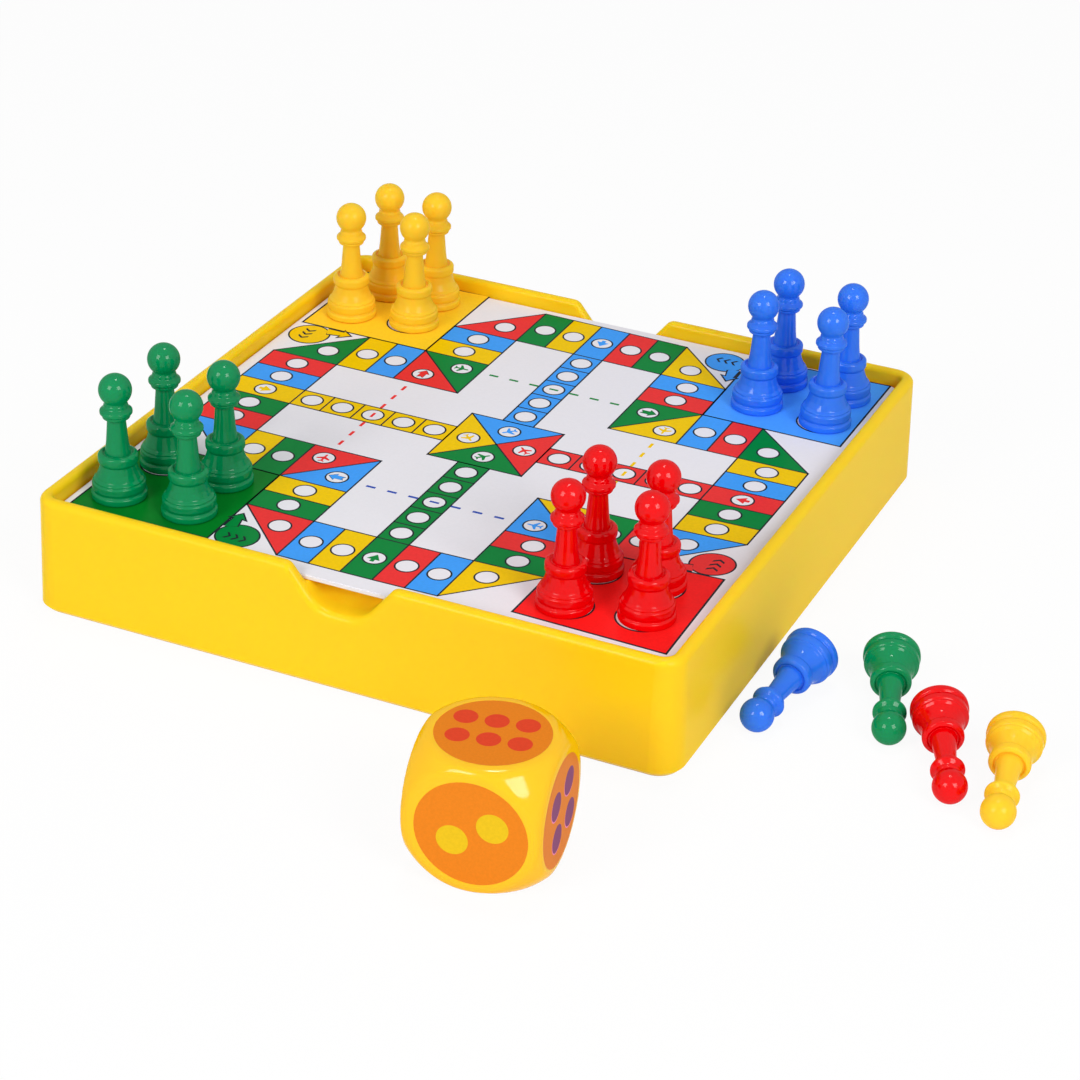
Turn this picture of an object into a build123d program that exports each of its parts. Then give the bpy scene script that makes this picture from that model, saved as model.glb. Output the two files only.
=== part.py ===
from build123d import *
import os
from itertools import product
from math import acos, atan2, cos, degrees, hypot, pi, radians, sin, sqrt

# Ludo board box: a square open tray, a lift-out board with a glued printed
# sheet, sixteen pawns standing on the board, four loose pawns and a large die.
# Millimetres. The origin is the centre of the tray's underside, +X runs to the
# right along the front wall, +Y to the back and +Z up.

# ---- tray ----
TRAY_SIZE = 152.0          # outside at the base, both ways
TRAY_HEIGHT = 27.2
TRAY_CORNER_R = 6.0        # outside upright corners
BASE_EDGE = 1.2            # bevel under the walls
WALL = 2.9                 # at the rim; the well's own walls are upright
WALL_LEAN = 0.8            # the outer faces lean in this far from base to rim
FLOOR = 2.2
RIM_OUTER_R = 1.5          # round along the outer edge of the rim and notches
RIM_INNER_R = 1.1          # round along the inner edge

# ---- board: a stiff plate with a printed sheet on it ----
RIM_ABOVE_BOARD = 3.5      # the rim stands this far over the printed face
PLATE_THICKNESS = 0.8
PLATE_CORNER_R = 3.0
PLATE_EDGE = 0.2           # bevel below, where a finger gets under it
SHEET_THICKNESS = 0.2
SHEET_INSET = 0.3          # the sheet stops this short of the plate's edge
BOARD_GAP = 0.4            # running gap between the board and the walls

# ---- ribs and posts that carry the board ----
RIB_THICKNESS = 1.6
RIB_REACH = 2.6            # from the wall inwards
RIB_PITCH = 22.0
RIBS_EACH_SIDE = 3         # of the middle of a side wall
POST_SIZE = 7.0            # post in each corner

# ---- finger notches in the front and back walls, each with a scoop behind ----
NOTCH_X = -0.5             # the notches' middle, a little left of the walls' middle
NOTCH_TOP_WIDTH = 24.6     # at the rim
NOTCH_FLOOR_WIDTH = 10.3
NOTCH_DEPTH = 9.0          # below the rim
NOTCH_TOP_R = 2.5          # where its sides run into the rim
NOTCH_FLOOR_R = 7.0        # where its sides run into its floor
SCOOP_WIDTH = 24.0         # block behind the notch that the scoop is sunk in
SCOOP_REACH = 8.0          # block, from the well's wall inwards
SCOOP_WALL = 2.2           # left behind the scoop, and round the hollow below it
SCOOP_R = 4.0              # round where the scoop turns up under the board

# ---- pawn: a turned form, drawn as rings of flats to stay light ----
PAWN_SIDES = 12
PAWN_HEIGHT = 29.3
FOOT_D = 12.3
FOOT_BAND = 1.5            # upright band round the foot
BELL_D = 11.7              # the bell, stepped in from the foot
BELL_EDGE = 2.9            # where its rounded lip ends
BELL_MID_D = 10.4
BELL_MID = 4.0
BELL_TOP_D = 8.2
BELL_TOP = 7.2
RING_D = 8.8               # ring on top of the bell
RING_MID = 9.3
RING_TOP_D = 7.4
RING_TOP = 10.6
COLUMN_LOW_D = 6.0
COLUMN_LOW = 10.9
COLUMN_TOP_D = 4.3
COLUMN_TOP = 18.5
LIP_D = 6.7                # lower lip of the collar
LIP_LOW = 18.9
COLLAR_D = 7.45            # upper lip
COLLAR_MID = 20.6
NECK_D = 5.0
NECK = 22.0
HEAD_D = 7.5
HEAD_STEPS = (-40.0, 0.0, 45.0)   # latitudes where the head's flats meet

# ---- where the pawns stand: four in each corner of the board ----
PRINT_UNITS_ACROSS = 18.0  # the board's width in units of its printed layout
PRINT_SHIFT = (-0.5, 0.7)  # the layout sits this far off the board's middle
CIRCLE_NEAR = 5.5          # start circles, in units from the middle
CIRCLE_FAR = 7.6
CORNERS = {"green": (-1, -1), "yellow": (-1, 1), "blue": (1, 1), "red": (1, -1)}
# Front left, front right, back left, back right. Set down by hand, off centre.
NUDGES = {
    "green": ((-1.4, 0.3), (-0.8, 0.6), (-0.1, 1.4), (-1.0, -0.1)),
    "yellow": ((-0.9, 2.5), (-1.5, 4.6), (1.6, 1.2), (-2.4, 1.6)),
    "blue": ((1.5, 2.3), (2.0, 1.2), (2.4, -0.2), (1.7, -1.0)),
    "red": ((-0.5, 1.9), (-0.2, 5.1), (-0.8, 1.6), (-3.3, 1.6)),
}

# ---- pawns lying to the right of the tray ----
# Head centre: out from the tray's right wall, and along it from the middle.
LOOSE_SPOTS = {
    "blue": (7.4, -49.3),
    "green": (33.4, -41.4),
    "red": (51.3, -56.4),
    "yellow": (62.6, -60.5),
}
# Degrees from +X to where the head points.
LOOSE_HEADINGS = {"blue": 263.4, "green": 287.8, "red": 293.3, "yellow": 279.1}

# ---- die: a ball cut flat on six sides ----
DIE_SIZE = 28.0
DIE_BALL_D = 38.2
DIE_X = 53.5
DIE_BEFORE_TRAY = 38.5     # its centre, out from the front wall
DIE_TURN = 6.8
LABEL_D = 22.8
LABEL_SIDES = 20           # the round label, drawn with flats
LABEL_THICKNESS = 0.3
LABEL_SUNK = 0.28          # the recess is this deep, so the label stands just proud
LABEL_GAP = 0.1            # round the label in its recess
# Which way each label faces.
LABELS = {
    "one": (0, 0, -1),
    "two": (0, -1, 0),
    "three": (-1, 0, 0),
    "four": (1, 0, 0),
    "five": (0, 1, 0),
    "six": (0, 0, 1),
}

# ---- sizes that follow ----
TOUCH = 1e-4               # nearer than this counts as on the face
RIM_SIZE = TRAY_SIZE - 2 * WALL_LEAN
WELL = RIM_SIZE - 2 * WALL
BOARD_SIZE = WELL - 2 * BOARD_GAP
BOARD_TOP = TRAY_HEIGHT - RIM_ABOVE_BOARD
PLATE_TOP = BOARD_TOP - SHEET_THICKNESS
REST_HEIGHT = PLATE_TOP - PLATE_THICKNESS
NOTCH_FLOOR = TRAY_HEIGHT - NOTCH_DEPTH
PRINT_UNIT = BOARD_SIZE / PRINT_UNITS_ACROSS
HEAD_HEIGHT = PAWN_HEIGHT - HEAD_D / 2


def rounded_block(size: float, height: float, corner_r: float, z: float) -> Part:
    """A square block with round upright corners, its underside at z."""
    with BuildPart() as block:
        with BuildSketch(Plane.XY.offset(z)):
            RectangleRounded(size, size, corner_r)
        extrude(amount=height)
    return block.part


def scoop_cut() -> Part:
    """The front notch and the scoop behind it, as one smooth pocket to cut away.

    A trapezoid with round corners runs in through the wall, and the far end is
    rounded, so that a fingertip slides up under the board.
    """
    outside = -TRAY_SIZE / 2
    depth = (TRAY_SIZE - WELL) / 2 + SCOOP_REACH - SCOOP_WALL
    above = 2 * NOTCH_TOP_R
    spread = (NOTCH_TOP_WIDTH - NOTCH_FLOOR_WIDTH) / 2 / NOTCH_DEPTH * above
    half_top = NOTCH_TOP_WIDTH / 2 + spread
    half_floor = NOTCH_FLOOR_WIDTH / 2
    with BuildPart() as cut:
        with BuildSketch(Plane.XZ.offset(BASE_EDGE - outside)) as outline:
            with BuildLine():
                Polyline(
                    (NOTCH_X - half_top, TRAY_HEIGHT + above),
                    (NOTCH_X - half_floor, NOTCH_FLOOR),
                    (NOTCH_X + half_floor, NOTCH_FLOOR),
                    (NOTCH_X + half_top, TRAY_HEIGHT + above),
                    close=True,
                )
            make_face()
            fillet(outline.vertices().group_by(Axis.Y)[0], NOTCH_FLOOR_R)
        extrude(amount=-(depth + BASE_EDGE))
        end = cut.faces().sort_by(Axis.Y)[-1]
        fillet(end.edges().sort_by(Axis.Z)[:-1], SCOOP_R)
    return cut.part


def scoop_hollow() -> Part:
    """The hollow under the front scoop's block, open below, so its walls stay even."""
    reach = SCOOP_REACH - SCOOP_WALL
    with BuildPart() as hollow:
        with BuildSketch():
            with Locations((NOTCH_X, -WELL / 2 + reach / 2)):
                Rectangle(SCOOP_WIDTH - 2 * SCOOP_WALL, reach)
        extrude(amount=NOTCH_FLOOR - SCOOP_WALL)
    return hollow.part


def supports() -> Part:
    """Ribs, corner posts and scoop blocks inside the tray, up to the board's underside."""
    inner = WELL / 2
    height = REST_HEIGHT - FLOOR
    rib_places = [
        side * RIB_PITCH * (n + 0.5)
        for side in (-1, 1)
        for n in range(RIBS_EACH_SIDE)
    ]
    with BuildPart() as group:
        with BuildSketch(Plane.XY.offset(FLOOR)):
            for place in rib_places:
                for side in (-1, 1):
                    with Locations((side * (inner - RIB_REACH / 2), place)):
                        Rectangle(RIB_REACH, RIB_THICKNESS)
                    if abs(place) > SCOOP_WIDTH / 2:
                        with Locations((place, side * (inner - RIB_REACH / 2))):
                            Rectangle(RIB_THICKNESS, RIB_REACH)
            for x_side in (-1, 1):
                for y_side in (-1, 1):
                    with Locations(
                        (
                            x_side * (inner - POST_SIZE / 2),
                            y_side * (inner - POST_SIZE / 2),
                        )
                    ):
                        Rectangle(POST_SIZE, POST_SIZE)
            for side in (-1, 1):
                with Locations((NOTCH_X, side * (inner - SCOOP_REACH / 2))):
                    Rectangle(SCOOP_WIDTH, SCOOP_REACH)
        extrude(amount=height)
    return group.part


def leaning_half(height: float) -> float:
    """Half the tray's outside width at a height."""
    return TRAY_SIZE / 2 - WALL_LEAN * height / TRAY_HEIGHT


def on_outer_face(edge: Edge) -> bool:
    """Whether an edge is part of the rim or of a notch on a wall's outer face."""
    ends = (edge @ 0, edge @ 1)
    near = all(
        abs(max(abs(end.X), abs(end.Y)) - leaning_half(end.Z)) < TOUCH for end in ends
    )
    high = edge.center().Z > NOTCH_FLOOR - FLOOR
    return near and high and not upright(edge)


def on_well_face(edge: Edge) -> bool:
    """Whether an edge is part of the rim or of a notch on the well's walls."""
    ends = (edge @ 0, edge @ 1)
    near = all(abs(max(abs(end.X), abs(end.Y)) - WELL / 2) < TOUCH for end in ends)
    return near and edge.center().Z > REST_HEIGHT + FLOOR / 2 and not upright(edge)


def upright(edge: Edge) -> bool:
    """Whether an edge stands up, within the lean of the walls."""
    return abs((edge % 0.5).Z) > 0.99


def tray() -> Part:
    """The open tray with its rounded rim, finger notches and board supports."""
    lean = degrees(atan2(WALL_LEAN, TRAY_HEIGHT))
    with BuildPart() as box:
        with BuildSketch():
            RectangleRounded(TRAY_SIZE, TRAY_SIZE, TRAY_CORNER_R)
        extrude(amount=TRAY_HEIGHT, taper=lean)
        chamfer(box.faces().sort_by(Axis.Z)[0].edges(), BASE_EDGE)
        well_corner = TRAY_CORNER_R - WALL_LEAN - WALL
        add(rounded_block(WELL, TRAY_HEIGHT, well_corner, FLOOR), mode=Mode.SUBTRACT)
        add(supports())
        for turn in (0, 180):
            shift = Location((2 * NOTCH_X * (turn > 0), 0, 0)) * Location((0, 0, 0), (0, 0, turn))
            add(shift * scoop_cut(), mode=Mode.SUBTRACT)
            add(shift * scoop_hollow(), mode=Mode.SUBTRACT)
        notch_corners = (
            box.edges()
            .filter_by(lambda edge: abs(edge.center().Z - TRAY_HEIGHT) < TOUCH)
            .filter_by(Axis.Y)
            .filter_by(lambda edge: abs(edge.center().X) < NOTCH_TOP_WIDTH)
        )
        fillet(notch_corners, NOTCH_TOP_R)
        fillet(box.edges().filter_by(on_outer_face), RIM_OUTER_R)
        fillet(box.edges().filter_by(on_well_face), RIM_INNER_R)
    return box.part


def board_plate() -> Part:
    """The stiff plate that lifts out of the tray."""
    with BuildPart() as plate:
        add(rounded_block(BOARD_SIZE, PLATE_THICKNESS, PLATE_CORNER_R, REST_HEIGHT))
        chamfer(plate.faces().sort_by(Axis.Z)[0].edges(), PLATE_EDGE)
    return plate.part


def printed_sheet() -> Part:
    """The printed paper glued on the plate."""
    size = BOARD_SIZE - 2 * SHEET_INSET
    return rounded_block(size, SHEET_THICKNESS, PLATE_CORNER_R - SHEET_INSET, PLATE_TOP)


def turned(profile: list, sides: int) -> Solid:
    """A turned form from (diameter, height) rings, with flats that touch the true round."""
    rings = []
    for diameter, height in profile:
        radius = diameter / 2 / cos(pi / sides)
        rings.append(
            [
                Vector(radius * cos(angle), radius * sin(angle), height)
                for angle in (2 * pi * (n + 0.5) / sides for n in range(sides))
            ]
        )
    faces = [
        Face(Wire.make_polygon(rings[0][::-1])),
        Face(Wire.make_polygon(rings[-1])),
    ]
    for low, high in zip(rings, rings[1:]):
        for n in range(sides):
            m = (n + 1) % sides
            faces.append(Face(Wire.make_polygon([low[n], low[m], high[m], high[n]])))
    return Solid(Shell(faces))


def pawn() -> Solid:
    """A pawn on its foot: foot, bell, ring, column, collar and round head."""
    head_r = HEAD_D / 2
    profile = [
        (FOOT_D, 0),
        (FOOT_D, FOOT_BAND),
        (BELL_D, BELL_EDGE),
        (BELL_MID_D, BELL_MID),
        (BELL_TOP_D, BELL_TOP),
        (RING_D, RING_MID),
        (RING_TOP_D, RING_TOP),
        (COLUMN_LOW_D, COLUMN_LOW),
        (COLUMN_TOP_D, COLUMN_TOP),
        (LIP_D, LIP_LOW),
        (COLLAR_D, COLLAR_MID),
        (NECK_D, NECK),
    ]
    for step in HEAD_STEPS:
        angle = radians(step)
        profile.append((HEAD_D * cos(angle), HEAD_HEIGHT + head_r * sin(angle)))
    profile.append((head_r * cos(angle), PAWN_HEIGHT))
    return turned(profile, PAWN_SIDES)


def lying(turn: float, x: float, y: float) -> Location:
    """The place of a pawn that lies on its foot's rim and its head.

    The head is at x, y and points along the heading turn. The foot is the wider
    end, so the pawn's axis tips down towards the head.
    """
    head_r = HEAD_D / 2
    foot_r = FOOT_D / 2
    length = HEAD_HEIGHT - FOOT_BAND
    tip = acos(head_r / hypot(length, foot_r)) - atan2(length, foot_r)
    heading = radians(turn)
    reach = HEAD_HEIGHT * cos(tip)
    foot = (
        x - reach * cos(heading),
        y - reach * sin(heading),
        head_r + HEAD_HEIGHT * sin(tip),
    )
    return Location(foot, (0, 0, turn)) * Location((0, 0, 0), (0, 90 + degrees(tip), 0))


def die_body() -> Part:
    """A ball cut flat on six sides, drawn with flats, with a recess for each label."""
    ball_r = DIE_BALL_D / 2
    normals = [
        Vector(*steps).normalized()
        for steps in product((-2, -1, 0, 1, 2), repeat=3)
        if sorted(map(abs, steps)) in ([0, 1, 1], [1, 1, 1], [1, 1, 2])
    ]
    with BuildPart() as body:
        Box(DIE_SIZE, DIE_SIZE, DIE_SIZE)
        for normal in normals:
            split(bisect_by=Plane(normal * ball_r, z_dir=normal), keep=Keep.BOTTOM)
        for direction in LABELS.values():
            normal = Vector(*direction)
            with BuildSketch(Plane(normal * (DIE_SIZE / 2), z_dir=normal)):
                RegularPolygon(LABEL_D / 2 + LABEL_GAP, LABEL_SIDES, major_radius=False)
            extrude(amount=-LABEL_SUNK, mode=Mode.SUBTRACT)
    return body.part


def die_label(direction: tuple) -> Part:
    """A round label seated in its recess."""
    normal = Vector(*direction)
    seat = normal * (DIE_SIZE / 2 - LABEL_SUNK)
    with BuildPart() as label:
        with BuildSketch(Plane(seat, z_dir=normal)):
            RegularPolygon(LABEL_D / 2, LABEL_SIDES, major_radius=False)
        extrude(amount=LABEL_THICKNESS)
    return label.part


def main() -> None:
    """Builds every piece and writes one STEP file for each."""
    os.makedirs("parts", exist_ok=True)
    pieces = {
        "tray": tray(),
        "board_plate": board_plate(),
        "printed_sheet": printed_sheet(),
    }
    one_pawn = pawn()
    shift_x, shift_y = PRINT_SHIFT
    near = CIRCLE_NEAR * PRINT_UNIT
    far = CIRCLE_FAR * PRINT_UNIT
    for colour, (x_side, y_side) in CORNERS.items():
        xs = (-far, -near) if x_side < 0 else (near, far)
        ys = (-far, -near) if y_side < 0 else (near, far)
        places = [(x, y) for y in ys for x in xs]
        for n, ((x, y), (dx, dy)) in enumerate(zip(places, NUDGES[colour]), 1):
            spot = Location((x + dx + shift_x, y + dy + shift_y, BOARD_TOP))
            pieces[f"pawn_{colour}_{n}"] = spot * one_pawn
    for colour, (x, y) in LOOSE_SPOTS.items():
        spot = lying(LOOSE_HEADINGS[colour], TRAY_SIZE / 2 + x, y)
        pieces[f"pawn_{colour}_loose"] = spot * one_pawn
    die_spot = Location(
        (DIE_X, -TRAY_SIZE / 2 - DIE_BEFORE_TRAY, DIE_SIZE / 2 + LABEL_THICKNESS - LABEL_SUNK),
        (0, 0, DIE_TURN),
    )
    pieces["die_body"] = die_spot * die_body()
    for name, direction in LABELS.items():
        pieces[f"die_label_{name}"] = die_spot * die_label(direction)
    for name, piece in pieces.items():
        export_step(piece, f"parts/{name}.step")


main()
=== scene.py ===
# Ludo board box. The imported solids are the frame: the tray, the board plate and the
# printed sheet stay and are dressed, the print is laid on the sheet as thin inked
# shapes, and the turned pawns and the die are made finely in place of their solids.
# Metres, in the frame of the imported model; sizes that a maker would read off a
# drawing are given in millimetres and turned to metres by MM.

import logging
import math
from dataclasses import dataclass, field
from enum import Enum, IntEnum

import bpy
from mathutils import Matrix, Vector

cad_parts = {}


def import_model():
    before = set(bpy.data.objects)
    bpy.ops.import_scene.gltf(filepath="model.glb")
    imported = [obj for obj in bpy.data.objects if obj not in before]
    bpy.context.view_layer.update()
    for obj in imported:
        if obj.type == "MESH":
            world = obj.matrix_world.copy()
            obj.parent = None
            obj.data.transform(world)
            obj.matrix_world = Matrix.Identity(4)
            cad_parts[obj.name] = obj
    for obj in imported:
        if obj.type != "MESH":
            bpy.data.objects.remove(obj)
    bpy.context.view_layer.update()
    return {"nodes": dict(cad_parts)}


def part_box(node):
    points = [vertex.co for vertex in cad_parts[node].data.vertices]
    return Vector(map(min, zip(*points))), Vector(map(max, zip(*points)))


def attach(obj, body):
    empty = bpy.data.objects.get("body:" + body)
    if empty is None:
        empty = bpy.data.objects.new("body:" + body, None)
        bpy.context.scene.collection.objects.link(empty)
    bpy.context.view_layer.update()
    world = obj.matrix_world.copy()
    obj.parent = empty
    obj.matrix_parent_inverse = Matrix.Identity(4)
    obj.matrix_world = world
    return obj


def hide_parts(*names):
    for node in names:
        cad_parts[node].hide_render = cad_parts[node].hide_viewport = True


MM = 0.001
LOG = logging.getLogger("ludo_box")
PAWNS_PER_TEAM = 4

Point = tuple[float, float]
Triple = tuple[float, float, float]
Faces = list[list[int]]
Socket = bpy.types.NodeSocket
Tree = bpy.types.NodeTree


class Team(Enum):
    """The four playing colours, in the order of play from the front left corner."""

    GREEN = "green"
    YELLOW = "yellow"
    BLUE = "blue"
    RED = "red"

    def after(self, turns: int) -> "Team":
        """The colour so many quarter turns further round the board."""
        order = list(Team)
        return order[(order.index(self) + turns) % len(order)]


class Mark(Enum):
    """What is printed inside a field's circle."""

    NONE = "none"
    PLANE = "plane"
    FAT_ARROW = "fat_arrow"
    HOME_ARROW = "home_arrow"


class Layer(IntEnum):
    """How inks lie over one another, from the sheet up: the board's, then a label's."""

    FIELD = 1
    LINE = 2
    RING = 3
    SPOT = 4
    MARK_EDGE = 5
    MARK = 6
    CHEVRON = 7
    PIP_EDGE = 1
    PIP = 2


class LabelInk(Enum):
    """What the pips of the die's labels are printed with."""

    RED = "red"
    YELLOW = "yellow"
    PURPLE = "purple"
    PINK = "pink"


# ---------------------------------------------------------------- small helpers

# Half the angle of a corner beyond which it counts as straight.
STRAIGHT = math.radians(89.5)
# The share of the shorter leg that a corner's round may take.
LEG_SHARE = 0.48


def linear(hex_colour: str) -> tuple[float, float, float, float]:
    """Turns an sRGB hex colour to linear RGBA.

    Args:
        hex_colour: A colour such as "#FFD022".

    Returns:
        Red, green, blue and an alpha of 1, linear.
    """
    parts = [int(hex_colour[i : i + 2], 16) / 255 for i in (1, 3, 5)]
    lit = [c / 12.92 if c <= 0.04045 else ((c + 0.055) / 1.055) ** 2.4 for c in parts]
    return (lit[0], lit[1], lit[2], 1.0)


def add_node(
    tree: Tree, kind: str, settings: dict | None = None, links: dict | None = None
) -> bpy.types.Node:
    """Adds one shader node with its settings and its incoming links.

    Args:
        tree: The node tree.
        kind: The node's type, such as "ShaderNodeTexNoise".
        settings: Values by name: a socket's where the node has one, or else its property.
        links: Sockets to link from, by the name or number of the input they feed.

    Returns:
        The new node.
    """
    node = tree.nodes.new(kind)
    for name, value in (settings or {}).items():
        if isinstance(name, int) or name in node.inputs:
            node.inputs[name].default_value = value
        else:
            setattr(node, name, value)
    for name, source in (links or {}).items():
        tree.links.new(source, node.inputs[name])
    return node


def new_surface(name: str) -> tuple[bpy.types.Material, Tree]:
    """Makes a material without any nodes yet.

    Args:
        name: Its name.

    Returns:
        The material and its empty node tree.
    """
    material = bpy.data.materials.new(name)
    material.use_nodes = True
    material.node_tree.nodes.clear()
    return material, material.node_tree


def mesh_object(
    name: str,
    verts: list[Vector],
    faces: Faces,
    materials: list[bpy.types.Material],
    smooth: bool = False,
    indices: list[int] | None = None,
) -> bpy.types.Object:
    """Makes a mesh object from points and faces.

    Args:
        name: The piece's name.
        verts: Points in metres.
        faces: Corner numbers of each face.
        materials: The materials, in slot order.
        smooth: Whether the faces are shaded smooth.
        indices: Each face's material slot, or None where all use the first.

    Returns:
        The linked object.
    """
    mesh = bpy.data.meshes.new(name)
    mesh.from_pydata(verts, [], faces)
    for material in materials:
        mesh.materials.append(material)
    if indices is not None:
        mesh.polygons.foreach_set("material_index", indices)
    mesh.polygons.foreach_set("use_smooth", [smooth] * len(mesh.polygons))
    mesh.update()
    piece = bpy.data.objects.new(name, mesh)
    bpy.context.scene.collection.objects.link(piece)
    return piece


def rounded_path(corners: tuple[Triple, ...], steps: int) -> list[Point]:
    """Rounds the corners of an open path, each with its own radius.

    Args:
        corners: Points of the path, each with the radius of its corner.
        steps: Points along each round, less one.

    Returns:
        The path with its rounds, as points.
    """
    path: list[Point] = [corners[0][:2]]
    for before, here, after in zip(corners, corners[1:], corners[2:]):
        corner = Vector(here[:2])
        legs = Vector(before[:2]) - corner, Vector(after[:2]) - corner
        back, ahead = legs[0].normalized(), legs[1].normalized()
        half = math.acos(max(-1.0, min(1.0, back.dot(ahead)))) / 2
        if here[2] <= 0 or half > STRAIGHT:
            path.append(tuple(corner))
            continue
        room = LEG_SHARE * min(legs[0].length, legs[1].length)
        cut = min(here[2] / math.tan(half), room)
        radius = cut * math.tan(half)
        centre = corner + (back + ahead).normalized() * radius / math.sin(half)
        first = corner + back * cut - centre
        sweep = first.angle_signed(corner + ahead * cut - centre)
        for n in range(steps + 1):
            turned = Matrix.Rotation(-sweep * n / steps, 2) @ first
            path.append(tuple(centre + turned))
    path.append(corners[-1][:2])
    return path


def lathe(path: list[Point], sides: int) -> tuple[list[Vector], Faces]:
    """Turns a profile about Z. Its ends lie on the axis.

    Args:
        path: Radius and height of each point of the profile, from the bottom up.
        sides: Steps round the axis.

    Returns:
        The points and the faces.
    """
    verts = [Vector((0, 0, path[0][1]))]
    rings = path[1:-1]
    for radius, height in rings:
        for n in range(sides):
            angle = 2 * math.pi * n / sides
            verts.append(Vector((radius * math.cos(angle), radius * math.sin(angle), height)))
    verts.append(Vector((0, 0, path[-1][1])))
    faces: Faces = []
    last = 1 + (len(rings) - 1) * sides
    for n in range(sides):
        m = (n + 1) % sides
        faces.append([0, 1 + m, 1 + n])
        for k in range(len(rings) - 1):
            low, high = 1 + k * sides, 1 + (k + 1) * sides
            faces.append([low + n, low + m, high + m, high + n])
        faces.append([last + n, last + m, len(verts) - 1])
    return verts, faces


def circle(centre: Point, radius: float, sides: int = 40) -> list[Point]:
    """The corners of a round shape, anticlockwise.

    Args:
        centre: The middle.
        radius: The radius.
        sides: How many corners it gets.

    Returns:
        The corners.
    """
    angles = [2 * math.pi * n / sides for n in range(sides)]
    return [
        (centre[0] + radius * math.cos(a), centre[1] + radius * math.sin(a)) for a in angles
    ]


# -------------------------------------------------------------------- finishes

# The spans that a noise texture mostly keeps to, for slow patches and for fibres.
PATCH_SPAN = (0.3, 0.7)
FIBRE_SPAN = (0.35, 0.65)
# Layer Weight's Facing where the gloss starts to fall off and where it has.
FACING_SPAN = (0.2, 0.65)


def fading_gloss(tree: Tree, square: float, grazing: float) -> Socket:
    """A specular level that falls off towards the edges of a form.

    Args:
        tree: The node tree.
        square: The level where the skin is seen square on.
        grazing: The level where it is seen along the skin.

    Returns:
        The level's socket.
    """
    facing = add_node(tree, "ShaderNodeLayerWeight", {"Blend": 0.5})
    start, end = FACING_SPAN
    level = add_node(
        tree,
        "ShaderNodeMapRange",
        {"From Min": start, "From Max": end, "To Min": square, "To Max": grazing},
        {"Value": facing.outputs["Facing"]},
    )
    return level.outputs["Result"]


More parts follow.
